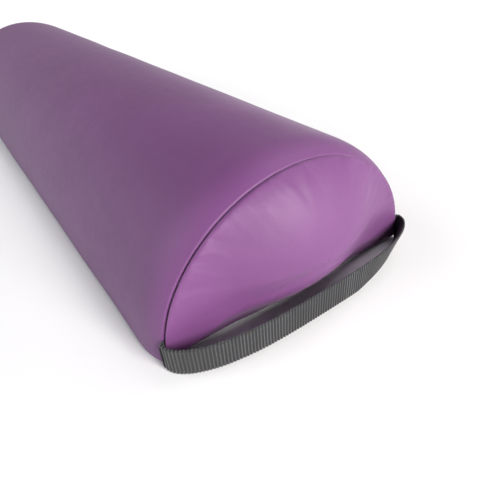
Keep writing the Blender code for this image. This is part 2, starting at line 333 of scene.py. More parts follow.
def puckers(rng, along, away, length, spacing, height, reach, slender=0.3):
    """The height of the gathers beside a seam: along it, and away from it, both in metres."""
    total = np.zeros(np.broadcast(along, away).shape)
    place = rng.uniform(0, spacing)
    while place < length:
        width = spacing * slender * rng.uniform(0.7, 1.5)
        far = reach * rng.uniform(0.45, 1.5)
        slant = rng.uniform(-0.35, 0.35)
        tall = height * rng.uniform(0.25, 1.0) * (1 if rng.random() < 0.45 else -1)
        grow = away / far
        shape = np.exp(-(((along - place - slant * away) / (width * (1 + 0.8 * grow))) ** 2))
        total += tall * shape * np.clip(grow * 6, 0, 1) * np.exp(-1.6 * grow)
        place += spacing * rng.uniform(0.55, 1.6)
    return total


def swells(rng, u, v, count, height, low, high):
    """Soft, wide unevenness over a surface, from a few slow waves."""
    total = np.zeros(np.broadcast(u, v).shape)
    for _ in range(count):
        wave = rng.uniform(low, high)
        turn = rng.uniform(0, math.pi)
        phase = rng.uniform(0, 2 * math.pi)
        total += np.sin(2 * math.pi * (u * math.cos(turn) + v * math.sin(turn)) / wave + phase)
    return total * height / math.sqrt(count)


def fine_stations(reach, step, near):
    """Places from one seam to the other, closer together near both."""
    middle = reach - near[-1]
    inner = np.linspace(-middle, middle, int(round(2 * middle / step)) + 1)
    return np.concatenate([near[:-1] - reach, inner, (reach - near[:-1])[::-1]])


NEAR_SEAM = np.array([0, 0.2, 0.4, 0.65, 0.9, 1.2, 1.55, 1.95, 2.5, 3.2, 4.2, 5.6, 7.4, 9.6, 12]) / 1000
REACH = SEAM_X - 0.0001  # how far the arch and the base run, just short of the seam


def lip(distance, place):
    """A seam's edge stands a little proud, more between two stitches."""
    scallop = 0.00016 + 0.00008 * np.cos(2 * math.pi * place / STITCH)
    return np.exp(-(((distance - 0.0012) / 0.0006) ** 2)) * scallop


def make_top_cover(vinyl):
    """The arched panel: simulated on a coarse grid, then refined, with its seams turned in and puckered."""
    middle, end = arch_outline(CORNER), arch_outline(END_CORNER)
    length = line_length(middle)
    rows, columns = 108, 52
    trial_shares = np.linspace(0, 1, columns)
    trial_stations = np.linspace(-REACH, REACH, rows)
    trial = swept(resampled(middle, trial_shares), resampled(end, trial_shares), trial_stations)
    index = np.arange(rows * columns).reshape(rows, columns)
    pinned = np.concatenate([index[0], index[-1], index[:, 0], index[:, -1]])
    faces = grid_faces(rows, columns, flip=True)
    moves = inflate(
        trial.reshape(-1, 3), faces, np.unique(pinned), growth=0.0, pressure=4, stiffness=90, cap=0.001)
    moves = moves.reshape(rows, columns, 3)

    stations = fine_stations(REACH, 0.0036, NEAR_SEAM)
    edge = NEAR_SEAM[:10] / length
    shares = np.concatenate([edge[:-1], np.linspace(edge[-1], 1 - edge[-1], 120), 1 - edge[:-1][::-1]])
    grid = swept(resampled(middle, shares), resampled(end, shares), stations)
    across = catmull(shares, columns)
    along = catmull((stations + REACH) / (2 * REACH), rows)
    for k in range(3):
        grid[:, :, k] += along @ moves[:, :, k] @ across.T

    rng = np.random.default_rng(7)
    from_end = (REACH - np.abs(stations))[:, None]
    place = (shares * length)[None, :]
    from_side = np.minimum(place, length - place)
    out = lip(from_end, place) - dip(from_end) - dip(from_side)
    for side in (-1, 1):
        mine = np.sign(stations)[:, None] == side
        out += mine * puckers(rng, place, from_end, length, 0.016, 0.00016, 0.009)
    out += swells(rng, stations[:, None], place, 9, 0.00022, 0.07, 0.20) * np.clip(from_end / 0.03, 0, 1)
    grid -= grid_normals(grid) * out[:, :, None]
    faces = grid_faces(len(stations), len(shares), flip=True)
    piece = mesh_object("top_cover", grid.reshape(-1, 3), faces, 60)
    finish(piece, vinyl, "vinyl", "bolster", "top_panel")
    thicken(piece, VINYL)


def make_base_cover(name, node, side, vinyl, seed):
    """Half the flat base, from its side seam in to a hem folded over beside the zip. Past the zip's ends the
    two hems close up."""
    hem_y = ZIP_Y + side * CHANNEL
    middle, end = base_outline(CORNER, hem_y, side), base_outline(END_CORNER, hem_y, side)
    length = line_length(middle)
    stations = fine_stations(REACH, 0.0072, NEAR_SEAM)
    stitch_share = 1 - 0.004 / length
    edge = NEAR_SEAM[:10] / length
    stitched = 1 - np.array([5.0, 4.6, 4.3, 4.0, 3.7, 3.4, 3.0]) / 1000 / length
    between = np.linspace(edge[-1], stitched[0], 34)[1:-1]
    shares = np.concatenate([edge, between, stitched, [1 - 0.0012 / length]])
    grid = swept(resampled(middle, shares), resampled(end, shares), stations)
    rng = np.random.default_rng(seed)
    from_end = (REACH - np.abs(stations))[:, None]
    place = (shares * length)[None, :]
    rise = dip(from_end) + dip(place)
    rise += 0.0004 * np.exp(-(((shares - stitch_share) * length / 0.0003) ** 2))[None, :]
    uneven = np.abs(swells(rng, stations[:, None], place, 6, 0.0002, 0.04, 0.12))
    rise += uneven * np.clip(from_end / 0.02, 0, 1)
    rise += np.abs(puckers(rng, place, from_end, length, 0.018, 0.0003, 0.010))
    grid[:, :, 2] += lift(grid[:, :, 1]) * smooth(1 - from_seam(stations) / 0.0030)[:, None]
    inward = np.array([0.0, -0.35 * side, 1.0])
    share = np.clip(1 - place / 0.008, 0, 1)
    up = np.array([0, 0, 1.0])
    grid += rise[:, :, None] * (up * (1 - share[:, :, None]) + inward * share[:, :, None])
    closing_length = 0.005
    closing = smooth((np.abs(stations) - ZIP_HALF + closing_length) / closing_length)[:, None]
    near_hem = np.clip(1 - (1 - shares) * length / 0.02, 0, 1)[None, :]
    grid[:, :, 1] += -side * (CHANNEL - 0.0001) * closing * near_hem
    hem_shut = hem_y - side * (CHANNEL - 0.0001) * closing
    base_z = grid[:, -1, 2][:, None]
    turns = np.linspace(-math.pi / 2, math.pi / 2, 7)[1:]
    fold_scale = cover_scale(stations)[:, None]
    fold_y = hem_shut * fold_scale + side * (HEM_TOP / 2) * (1 - np.cos(turns))[None, :]
    fold_z = base_z + HEM_TOP / 2 * (1 + np.sin(turns))[None, :]
    back_y = hem_shut * fold_scale + side * np.array([[0.004, 0.0085, 0.0118]])
    back_z = np.broadcast_to(base_z + HEM_TOP, back_y.shape)
    extra_y = np.concatenate([fold_y, back_y], 1)
    extra_z = np.concatenate([fold_z, back_z], 1)
    extra_x = np.broadcast_to(stations[:, None], extra_y.shape)
    grid = np.concatenate([grid, np.stack([extra_x, extra_y, extra_z], 2)], 1)
    piece = mesh_object(name, grid.reshape(-1, 3), grid_faces(*grid.shape[:2], flip=side > 0), 60)
    finish(piece, vinyl, "vinyl", "bolster", node)
    thicken(piece, VINYL)


# ---- the ends
def end_ring(count, inset=0.0):
    """The end seam's whole outline, closed, as YZ points at even steps, and its length. It starts at the
    front corner, goes over the crown to the back corner, and returns along the base."""
    half = half_outline(-math.pi / 2, END_CORNER)
    flat = half[0][0]
    steps = 400
    base = np.stack([np.linspace(-flat, flat, steps), np.zeros(steps)], 1)[1:-1]
    outline = np.concatenate([half * [-1, 1], half[::-1][1:], base[::-1]])
    outline = np.concatenate([outline, outline[:1]])
    outline = np.stack([outline[:, 0] * SEAM_SCALE, rolled_height(outline[:, 1], SEAM_SCALE)], 1)
    outline[:, 1] += lift(outline[:, 0]) * smooth(1 - outline[:, 1] / 0.022)
    ring = resampled(outline, np.arange(count) / count)
    ahead = np.roll(ring, -1, 0) - np.roll(ring, 1, 0)
    inward = np.stack([ahead[:, 1], -ahead[:, 0]], 1) / np.linalg.norm(ahead, axis=1)[:, None]
    return ring + inset * inward, line_length(outline)


HEART = np.array([0, 0.43 * END_HIGH.z])  # an end panel's middle, in YZ


def softened(ring):
    """Values round a ring, averaged with their neighbours so that no corner shows as a crease."""
    reach = max(1, len(ring) // 36)
    for _ in range(3):
        ring = np.mean([np.roll(ring, k) for k in range(-reach, reach + 1)], axis=0)
    return ring


def end_rings(shares, columns, side, inset, low, high):
    """Rings from an end's seam in to its heart: D-shaped at the seam, and rounder further in. The surface
    stands from low at the seam to high at the heart, past the seam's plane."""
    ring, _ = end_ring(columns, inset)
    arm = ring - HEART
    reach = np.linalg.norm(arm, axis=1)
    way = arm / reach[:, None]
    drop = np.where(way[:, 1] < 0, HEART[1], 1.15 * (BODY_HEIGHT - HEART[1]))
    rounder = 1 / np.sqrt((way[:, 0] / (0.80 * SEAM_HALF)) ** 2 + (way[:, 1] / drop) ** 2)
    shares = shares[:, None]
    keep = shares**2
    radius = shares * (keep * reach[None] + (1 - keep) * rounder[None])
    flat = HEART + radius[:, :, None] * way[None]
    corners = softened((reach / reach.max()) ** 3 * smooth((0.6 - way[:, 1]) / 0.6))
    power = 1.25 + 0.85 * corners[None]  # an end falls away sooner towards its corners
    x = SEAM_X + low + (high - low) * (1 - shares**2) ** power
    return np.concatenate([(side * x)[:, :, None], flat], 2)


def capped_faces(rows, columns, flip):
    """Quads round and round, closed by a fan at the last row, around the point that follows the grid."""
    faces = grid_faces(rows, columns, closed=True, flip=flip)
    last = rows * columns
    fan = [(last - columns + i, last - columns + (i + 1) % columns, last) for i in range(columns)]
    return faces + ([f[::-1] for f in fan] if flip else fan)


# The gathers beside an end's arc: their spacing, height, reach towards the heart, and slenderness.
END_GATHERS = ((0.0060, 0.00042, 0.015, 0.22), (0.022, 0.0007, 0.024, 0.16), (0.0034, 0.00011, 0.020, 0.30))


def make_end_cover(name, side, node, vinyl, seed):
    """A plump end panel: rings from its seam in to its crown, gathered along the arc."""
    rows, columns = 16, 72
    trial_shares = np.linspace(1, 0.08, rows)
    trial = end_rings(trial_shares, columns, side, VALLEY, 0, CROWN - EDGE_ROLL)
    points = np.concatenate([trial.reshape(-1, 3), trial[-1].mean(0, keepdims=True)])
    flip = side < 0
    faces = capped_faces(rows, columns, flip)
    moves = inflate(points, faces, np.arange(columns), growth=0.004, pressure=3, stiffness=40, cap=0.002)
    moves = moves[:-1].reshape(rows, columns, 3)
    for _ in range(4):
        moves = (np.roll(moves, 1, 1) + 2 * moves + np.roll(moves, -1, 1)) / 4
        moves[1:-1] = (moves[:-2] + 2 * moves[1:-1] + moves[2:]) / 4

    fine = 720
    shares = np.concatenate([1 - NEAR_SEAM[:-1] / 0.058, np.linspace(0.79, 0.03, 38)])
    grid = end_rings(shares, fine, side, VALLEY, 0, CROWN - EDGE_ROLL)
    outward = catmull((1 - shares) / (1 - trial_shares[-1]), rows)
    closed = np.concatenate([moves, moves[:, :1]], 1)
    around = catmull(np.arange(fine) / fine, columns + 1)
    for k in range(3):
        grid[:, :, k] += outward @ closed[:, :, k] @ around.T

    rng = np.random.default_rng(seed)
    ring, around_length = end_ring(fine, VALLEY)
    away = (1 - shares)[:, None] * np.linalg.norm(ring - HEART, axis=1)[None, :]
    place = (np.arange(fine) / fine * around_length)[None, :]
    upper = np.clip((ring[:, 1] - 0.020) / 0.02, 0, 1)[None, :]
    out = EDGE_ROLL * (0.25 + 0.75 * upper) * (1 - np.exp(-away / 0.0008))
    out = out + 0.00010 * np.cos(2 * math.pi * place / STITCH) * np.exp(-away / 0.0012)
    outer = upper * smooth((shares[:, None] - 0.25) / 0.3)
    for spacing, height, reach, slender in END_GATHERS:
        out += outer * puckers(rng, place, away, around_length, spacing, height, reach, slender)
    out += swells(rng, grid[:, :, 1], grid[:, :, 2], 8, 0.00022, 0.035, 0.10) * np.clip(away / 0.02, 0, 1)
    wide = np.concatenate([grid[:, -2:], grid, grid[:, :2]], 1)
    normal = grid_normals(wide)[:, 2:-2]
    normal *= np.sign((normal[:, :, 0] * side).mean())
    grid += normal * out[:, :, None]
    points = np.concatenate([grid.reshape(-1, 3), grid[-1].mean(0)[None]])
    piece = mesh_object(name, points, capped_faces(len(shares), fine, flip), 60)
    finish(piece, vinyl, "vinyl", "bolster", node)
    thicken(piece, VINYL)


# ---- inside
def make_wadding(fibre):
    """The fibre layer under the arch, uneven on its inner side."""
    rows, columns, from_end = 130, 60, 0.012
    stations = np.linspace(-SEAM_X + from_end, SEAM_X - from_end, rows)
    shares = np.linspace(0.05, 0.95, columns)
    middle = resampled(arch_outline(CORNER), shares)
    end = resampled(arch_outline(END_CORNER), shares)
    outer = swept(middle, end, stations)
    normal = grid_normals(outer)
    rng = np.random.default_rng(21)
    lumps = swells(rng, stations[:, None], (shares * 0.28)[None, :], 12, 0.0003, 0.012, 0.05)
    outer = outer + normal * (0.0032 + lumps)[:, :, None]
    piece = mesh_object("wadding_layer", outer.reshape(-1, 3), grid_faces(rows, columns, flip=True), 60)
    finish(piece, fibre, "fibre", "bolster", "wadding")
    thicken(piece, 0.0036)


def make_end_pad(name, side, node, fibre, seed):
    """The fibre pad that fills an end panel."""
    columns = 120
    behind = -0.0045
    front = end_rings(np.linspace(1, 0.04, 26), columns, side, 0.006, -0.001, CROWN - 0.0052)
    rng = np.random.default_rng(seed)
    lumps = swells(rng, front[:, :, 1], front[:, :, 2], 10, 0.0003, 0.01, 0.04)
    front[:, :, 0] += side * (lumps - 0.0004)
    back = end_rings(np.linspace(0.04, 1, 14), columns, side, 0.007, behind, behind)
    rows = np.concatenate([back, front])
    heart = rows[0].mean(0)[None]
    tip = rows[-1].mean(0)[None]
    points = np.concatenate([rows.reshape(-1, 3), tip, heart])
    flip = side < 0
    faces = capped_faces(len(rows), columns, flip)
    faces += [(i, len(points) - 1, (i + 1) % columns)[:: -1 if flip else 1] for i in range(columns)]
    piece = mesh_object(name, points, faces, 60)
    finish(piece, fibre, "fibre", "bolster", node)


def make_foam(foam):
    """The foam block: a D section with the edges of its cut ends eased."""
    inset, foot, from_end, columns = 0.0086, 0.0050, 0.0105, 150
    half = half_outline(-math.pi / 2, CORNER)
    ease = np.array([BODY_HALF - inset, BODY_HEIGHT - inset]) / [BODY_HALF, BODY_HEIGHT]
    arch = np.concatenate([half * [-1, 1], half[::-1][1:]]) * ease
    arch[:, 1] = np.maximum(arch[:, 1], foot)
    flat = half[0][0] * ease[0]
    base = np.stack([np.linspace(flat, -flat, 20)[1:-1], np.full(18, foot)], 1)
    outline = resampled(np.concatenate([arch, base, arch[:1]]), np.arange(columns) / columns)
    edge = np.array([0.994, 0.998, 0.9995, 1])
    stations = np.concatenate([-edge[::-1], np.linspace(-0.98, 0.98, 70), edge]) * (SEAM_X - from_end)
    ends = SEAM_X - from_end - np.abs(stations)
    shrink = 1 - 0.018 * np.exp(-ends / 0.0015)
    scale = (cover_scale(stations) * shrink)[:, None]
    grid = np.stack([
        np.broadcast_to(stations[:, None], (len(stations), columns)),
        outline[None, :, 0] * scale,
        np.maximum(rolled_height(outline[None, :, 1], scale), foot),
    ], 2)
    points = np.concatenate([grid.reshape(-1, 3), grid[-1].mean(0)[None], grid[0].mean(0)[None]])
    faces = capped_faces(len(stations), columns, True)
    faces += [(i, (i + 1) % columns, len(points) - 1) for i in range(columns)]
    piece = mesh_object("foam_block", points, faces, 40)
    finish(piece, foam, "foam", "bolster", "foam_core")


# ---- sewing
def dashes(route, stitch, gap, radius):
    """Separate stitches along a dense route: each dips at both its ends."""
    route = np.asarray(route, float)
    steps = np.linalg.norm(np.diff(route, axis=0), axis=1)
    along = np.concatenate([[0], np.cumsum(steps)])
    parts = []
    for start in np.arange(0, along[-1] - stitch, stitch + gap):
        at = np.linspace(start, start + stitch, 7)
        line = np.stack([np.interp(at, along, route[:, k]) for k in range(3)], 1)
        parts.append(tube_points(line, radius * np.array([0.45, 0.85, 1, 1, 1, 0.85, 0.45]), 6))
    return parts


def make_end_stitches(name, side, node, thread):
    """An end seam's stitches, in the valley between its panels. On the strap's end they stop above it."""
    ring, _ = end_ring(900, VALLEY + 0.0001)
    low = 0.020 if side > 0 else 0.004
    arch = ring[ring[:, 1] > low]
    start = int(np.argmin(arch[:, 0]))
    arch = np.roll(arch, -start, 0) if arch[0, 0] > -0.05 else arch
    route = np.concatenate([np.full((len(arch), 1), side * (SEAM_X + 0.0001)), arch], 1)
    parts = dashes(route, STITCH - STITCH_GAP, STITCH_GAP, THREAD)
    finish(joined(name, parts), thread, "thread", "bolster", node)


def make_side_stitches(name, side, node, thread):
    """The stitches of a long seam, low on the corner."""
    stations = np.linspace(-SEAM_X + 0.004, SEAM_X - 0.004, 260)
    middle = half_outline(-SEAM_TURN, CORNER)[:1]
    end = half_outline(-SEAM_TURN, END_CORNER)[:1]
    inward = (VALLEY - 0.0002) * np.array([-math.cos(SEAM_TURN), math.sin(SEAM_TURN)])
    line = swept((middle + inward) * [side, 1], (end + inward) * [side, 1], stations)[:, 0]
    parts = dashes(line, STITCH - STITCH_GAP, STITCH_GAP, THREAD)
    finish(joined(name, parts), thread, "thread", "bolster", node)


# ---- the strap
def strap_centre(y):
    """How far the strap's middle layer stands off the seam's plane at y."""
    return STRAP_BOW * np.sqrt(np.maximum(1 - (np.abs(y) / STRAP_SPAN) ** 3, 0))


def strap_route():
    """The strap's middle layer in plan, from tuck to tuck, at close even steps."""
    turn = np.sin(np.linspace(-math.pi / 2, math.pi / 2, 400)) * 0.0950
    middle = np.stack([SEAM_X + strap_centre(turn), turn], 1)
    tuck = np.array([[0.0034, 0.0962], [0.0018, 0.0965], [0.0007, 0.0961], [0.0001, 0.0952], [0.0, 0.0938]])
    back = tuck + [SEAM_X, 0]
    front = back[::-1] * [1, -1]
    line = np.concatenate([front, middle, back])
    length = line_length(line)
    steps_to_a_rib = 8
    count = int(length / RIB * steps_to_a_rib)
    line = resampled(line, np.linspace(0, 1, count + 1))
    for _ in range(12):
        line[1:-1] = (line[:-2] + 2 * line[1:-1] + line[2:]) / 4
    return line, length


def make_strap(webbing):
    """The webbing, in one length. It stands on its edge, its ribs cross it, and towards the back its lower
    edge leans in. The rib attribute paints shade into its grooves and a painted highlight on its ridges."""
    line, length = strap_route()
    ahead = np.gradient(line, axis=0)
    ahead /= np.linalg.norm(ahead, axis=1)[:, None]
    out = np.stack([ahead[:, 1], -ahead[:, 0]], 1)
    along = np.linspace(0, length, len(line))
    rib = 0.5 - 0.5 * np.cos(2 * math.pi * along / RIB)
    rng = np.random.default_rng(5)
    uneven = swells(rng, along, 0 * along, 6, 0.05, 0.006, 0.03)
    selvedge, rim, rib_height, strand_pitch = 0.0009, 0.00035, 0.00066, 0.00145
    rises = np.linspace(selvedge, STRAP_TOP - selvedge, 38)
    heights = np.concatenate([[0, rim], rises, [STRAP_TOP - rim, STRAP_TOP]])
    edge = np.minimum(heights, STRAP_TOP - heights)
    thick = WEB_HALF * (0.45 + 0.55 * np.sqrt(np.clip(edge / selvedge, 0, 1)))
    strand = 0.5 + 0.5 * np.cos(2 * math.pi * (heights[None, :] / strand_pitch + along[:, None] / RIB))
    ridge = np.clip(rib + uneven, 0, 1)[:, None] * (0.72 + 0.28 * strand)
    proud = (thick[None, :] - rim) + rib_height * ridge
    lean = np.interp(line[:, 1], [0.03, 0.080, 0.092, 0.0975], [0, 0.0060, 0.0050, 0])
    lean_in = lean[:, None] * (1 - heights / STRAP_TOP)[None, :]
    outer_edge = np.where(edge < 0.0001, np.sign(heights - STRAP_TOP / 2), 0)
    serrate = 0.00018 * rib[:, None] * outer_edge[None, :]
    layers = []
    for face, order in ((1, slice(None)), (-1, slice(None, None, -1))):
        shift = face * proud - lean_in
        x = line[:, :1] + out[:, :1] * shift
        y = line[:, 1:] + out[:, 1:] * shift
        z = np.maximum(np.broadcast_to(heights[None], x.shape) + serrate, 0)
        layers.append(np.stack([x, y, z], 2)[:, order])
    grid = np.concatenate(layers, 1)
    columns = grid.shape[1]
    faces = grid_faces(len(line), columns, closed=True) + end_caps(len(line), columns)
    piece = mesh_object("webbing_strap", grid.reshape(-1, 3), faces, 50)
    # Painted shade and highlight: this attribute darkens the webbing's colour in the grooves and lightens it
    # on the ridges.
    painted_shade = piece.data.attributes.new("rib", "FLOAT", "POINT")
    shade = np.concatenate([ridge, ridge[:, ::-1]], 1) ** 2.4
    painted_shade.data.foreach_set("value", shade.ravel().astype(np.float32))
    finish(piece, webbing, "webbing", None, "strap", "strap_end_front", "strap_end_back")
    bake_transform(piece)


def make_bartack(name, side, node, thread):
    """A zigzag of stitches across the strap's fold."""
    face = side * (STRAP_SPAN + 0.0005)
    from_edge, inner, outer, radius = 0.0022, 0.0008, 0.0027, 0.00027
    heights = np.linspace(from_edge, STRAP_TOP - from_edge, 34)
    route = [(SEAM_X + (inner if i % 2 else outer), face, z) for i, z in enumerate(heights)]
    finish(joined(name, [tube_points(route, radius, 6)]), thread, "strap_thread", "bolster", node)


# ---- the zip
def prism(outline, low, high, ease):
    """A flat plate from its outline, with both faces' edges eased."""
    outline = np.asarray(outline, float)
    heart = outline.mean(0)
    reach = np.linalg.norm(outline - heart, axis=1)[:, None]
    inner = heart + (outline - heart) * (1 - ease / reach)
    layers = [(inner, low), (outline, low + ease), (outline, high - ease), (inner, high)]
    points = [(x, y, z) for line, z in layers for x, y in line]
    count = len(outline)
    return points, grid_faces(4, count, closed=True) + end_caps(4, count)


def rounded(half_x, half_y, radius, centre, steps=5):
    """A rectangle with round corners, counter-clockwise."""
    points = []
    for quarter, (sx, sy) in enumerate(((1, 1), (-1, 1), (-1, -1), (1, -1))):
        for turn in np.linspace(0, math.pi / 2, steps) + quarter * math.pi / 2:
            points.append((centre[0] + sx * (half_x - radius) + radius * math.cos(turn),
                           centre[1] + sy * (half_y - radius) + radius * math.sin(turn)))
    return points


def make_tape(name, node, side, tape):
    """A woven tape with a corded inner edge."""
    low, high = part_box(node)
    profile_y = np.linspace(0, high.y - low.y, 12)
    slack = 0.0001
    bulge = slack * np.exp(-(((profile_y - 0.0009) / 0.0005) ** 2))
    stations = np.linspace(low.x, high.x, 240)
    wave = 0.00006 * np.sin(2 * math.pi * stations / 0.021)[:, None]
    y = (low.y + profile_y if side > 0 else high.y - profile_y)[None, :]
    middle = (low.z + high.z) / 2
    half = (high.z - low.z) / 2 - slack
    rows = []
    for face, order in ((1, slice(None)), (-1, slice(None, None, -1))):
        z = middle + face * (half + bulge - slack)[None, :] + wave
        x = np.broadcast_to(stations[:, None], z.shape)
        rows.append(np.stack([x, np.broadcast_to(y, z.shape), z], 2)[:, order])
    grid = np.concatenate(rows, 1)
    columns = grid.shape[1]
    faces = grid_faces(len(stations), columns, closed=True, flip=side < 0)
    caps = end_caps(len(stations), columns)
    faces += [c[::-1] for c in caps] if side < 0 else caps
    finish(mesh_object(name, grid.reshape(-1, 3), faces, 50), tape, "zip_tape", "bolster", node)


def make_coil(name, node, side, nylon):
    """One half of the zip's nylon coil: a flattened spiral whose loops reach in between the other's."""
    low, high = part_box(node)
    pitch = 0.0016
    turns = int((high.x - low.x) / pitch) - 1
    steps = 14
    turn = np.arange(turns * steps + 1) * 2 * math.pi / steps
    radius = 0.00026
    from_line = abs((low.y if side > 0 else high.y) - ZIP_Y)
    inner, outer = 0.00025, (high.y - low.y) + from_line - radius
    reach = (inner + outer) / 2 - (outer - inner) / 2 * np.sign(np.cos(turn)) * np.abs(np.cos(turn)) ** 0.6
    middle, half = (low.z + high.z) / 2, (high.z - low.z) / 2 - radius
    x = low.x + 0.0008 + turn / (2 * math.pi) * pitch + (pitch / 2 if side > 0 else 0)
    route = np.stack([x, ZIP_Y + side * reach, middle + half * np.sin(turn)], 1)
    finish(joined(name, [tube_points(route, radius, 5)], 180), nylon, "zip_teeth", "bolster", node)


def make_zip_stitches(name, node, side, thread):
    """A row of stitches through hem and tape: each shows under the hem and again on the tape."""
    line = ZIP_Y + side * (CHANNEL + 0.004)
    ends = np.array([-ZIP_HALF + 0.002, ZIP_HALF - 0.002])
    parts = []
    for z in (0.00026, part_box(node)[1].z - THREAD):
        route = [(x, line * scale, z) for x, scale in zip(ends, cover_scale(ends))]
        parts += dashes(route, 0.0026, 0.0008, 0.00024)
    finish(joined(name, parts), thread, "thread", "bolster", node)


def make_slider(metal):
    """The slider: two waisted plates with rails, a post between the coils and a lug for the pull."""
    low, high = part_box("zip_slider")
    front, rear = high.x, low.x + 0.002
    mid_x, half_x, half_y = (front + rear) / 2, (front - rear) / 2, (high.y - low.y) / 2
    shape = [(-1, 0.55), (-0.75, 0.72), (-0.2, 0.80), (0.35, 0.97), (0.8, 1.0), (1, 0.86)]
    outline = [(mid_x + half_x * u, ZIP_Y - half_y * v) for u, v in shape]
    outline += [(mid_x + half_x * u, ZIP_Y + half_y * v) for u, v in shape[::-1]]
    plate = 0.0007
    ease = 0.00018
    parts = [prism(outline, low.z, low.z + plate, ease), prism(outline, high.z - plate, high.z, ease)]
    for side in (-1, 1):
        rail = rounded(half_x * 0.62, 0.00028, 0.0002, (mid_x + 0.0008, ZIP_Y + side * (half_y * 0.9)))
        parts.append(prism(rail, low.z + plate - 0.0001, low.z + plate + 0.0011, 0.0001))
    parts.append(prism(rounded(0.0016, 0.0005, 0.00045, (front - 0.0022, ZIP_Y)), low.z + 0.0003,
                       high.z - 0.0003, 0.00005))
    lug = rounded(0.0017, 0.00095, 0.0006, (rear - 0.0004, ZIP_Y))
    parts.append(prism(lug, low.z, low.z + plate, 0.00015))
    finish(joined("slider_body", parts, 35), metal, "zip_metal", "slider", "zip_slider")


def make_pull(metal):
    """The pull tab: two prongs beside the lug, a waisted leaf and an open eye at its tail."""
    low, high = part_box("zip_pull_tab")
    head, tail, half = high.x, low.x, (high.y - low.y) / 2
    parts = []
    slot, prong_length, ease = 0.0014, 0.0046, 0.00014
    for side in (-1, 1):
        prong = rounded(prong_length / 2, (half - slot) / 2, 0.0004,
                        (head - prong_length / 2, ZIP_Y + side * (half + slot) / 2))
        parts.append(prism(prong, low.z, high.z, ease))
    waist = [(head - 0.0040, 1.0), (head - 0.0062, 0.95), (head - 0.0095, 0.66), (head - 0.0135, 0.66)]
    leaf = [(x, ZIP_Y + half * v) for x, v in waist] + [(x, ZIP_Y - half * v) for x, v in waist[::-1]]
    parts.append(prism(leaf, low.z, high.z, ease))
    half_tail = 0.0068
    centre = (tail + half_tail, ZIP_Y)
    outer = rounded(half_tail, half, 0.0026, centre, 9)
    eye = rounded(0.0042, half - 0.0016, 0.0010, centre, 9)
    layers = [(eye, low.z + ease), (eye, low.z), (outer, low.z), (outer, low.z + ease),
              (outer, high.z - ease), (outer, high.z), (eye, high.z), (eye, high.z - ease)]
    points = [(x, y, z) for line, z in layers for x, y in line]
    count = len(outer)
    faces = []
    for r in range(len(layers)):
        for c in range(count):
            d, s = (c + 1) % count, (r + 1) % len(layers)
            faces.append((r * count + c, s * count + c, s * count + d, r * count + d))
    parts.append((points, faces))
    finish(joined("pull_leaf", parts, 35), metal, "zip_metal", "pull", "zip_pull_tab")


def make_stop(name, node, metal):
    """A crimped stop over both coils."""
    low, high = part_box(node)
    centre = ((low.x + high.x) / 2, ZIP_Y)
    outline = rounded((high.x - low.x) / 2, (high.y - low.y) / 2, 0.0008, centre)
    finish(joined(name, [prism(outline, low.z, high.z, 0.0003)], 35), metal, "zip_metal", "bolster", node)


# ---- finishing
def finish(piece, material, slot, body, *nodes):
    """Gives a piece its material, attaches it to the CAD body it rides on unless it bends, and hides the CAD
    nodes it stands for. The slot is not used."""
    piece.data.materials.clear()
    piece.data.materials.append(material)
    if body:
        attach(piece, body)
    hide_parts(*nodes)


def add(tree, kind, **values):
    """A new shader node, with values for its inputs or its own settings."""
    node = tree.nodes.new(kind)
    for key, value in values.items():
        if key in node.inputs:
            node.inputs[key].default_value = value
        else:
            setattr(node, key, value)
    return node


def surface(name, colours, tone_scale, roughness, bumps,
            metallic=0.0, sheen=0.0, stretch=(1, 1, 1), painted_shade=None):
    """A material whose colour and roughness drift between two values, with a stack of bumps. Each bump is
    (node kind, scale, strength, depth in metres). An attribute named by the last argument paints shade into
    the colour where it is low, pulling it to the dark end, and a painted highlight where it is high."""
    made = bpy.data.materials.new(name)
    made.use_nodes = True
    tree = made.node_tree
    link = tree.links.new
    shader = tree.nodes["Principled BSDF"]
    place = add(tree, "ShaderNodeTexCoord").outputs["Object"]
    if stretch != (1, 1, 1):
        sized = add(tree, "ShaderNodeMapping", Scale=stretch)
        link(place, sized.inputs["Vector"])
        place = sized.outputs["Vector"]
    tone = add(tree, "ShaderNodeTexNoise", Scale=tone_scale, Detail=4.0, Roughness=0.55)
    link(place, tone.inputs["Vector"])
    ramp = add(tree, "ShaderNodeValToRGB")
    for element, colour, position in zip(ramp.color_ramp.elements, colours, (0.32, 0.68)):
        element.color = (*colour, 1)
        element.position = position
    amount = tone.outputs["Fac"]
    # Painted shade and highlight from the attribute: low values darken the colour, high values lighten it.
    if painted_shade:
        found = add(tree, "ShaderNodeAttribute", attribute_name=painted_shade)
        product = add(tree, "ShaderNodeMath", operation="MULTIPLY_ADD")
        link(found.outputs["Fac"], product.inputs[0])
        link(amount, product.inputs[1])
        link(found.outputs["Fac"], product.inputs[2])
        softer = add(tree, "ShaderNodeMath", operation="MULTIPLY")
        link(product.outputs[0], softer.inputs[0])
        softer.inputs[1].default_value = 0.6
        amount = softer.outputs[0]
    link(amount, ramp.inputs["Fac"])
    link(ramp.outputs["Color"], shader.inputs["Base Color"])
    gloss = add(tree, "ShaderNodeTexNoise", Scale=tone_scale * 9, Detail=3.0)
    shine = add(tree, "ShaderNodeMapRange")
    shine.inputs["To Min"].default_value, shine.inputs["To Max"].default_value = roughness
    link(place, gloss.inputs["Vector"])
    link(gloss.outputs["Fac"], shine.inputs["Value"])
    link(shine.outputs["Result"], shader.inputs["Roughness"])
    normal = None
    for kind, scale, strength, depth in bumps:
        pattern = add(tree, "ShaderNodeTex" + kind, Scale=scale)
        link(place, pattern.inputs["Vector"])
        bump = add(tree, "ShaderNodeBump", Strength=strength, Distance=depth)
        link(pattern.outputs["Distance" if kind == "Voronoi" else "Fac"], bump.inputs["Height"])
        if normal is not None:
            link(normal, bump.inputs["Normal"])
        normal = bump.outputs["Normal"]
    link(normal, shader.inputs["Normal"])
    shader.inputs["Metallic"].default_value = metallic
    shader.inputs["Sheen Weight"].default_value = sheen
    return made


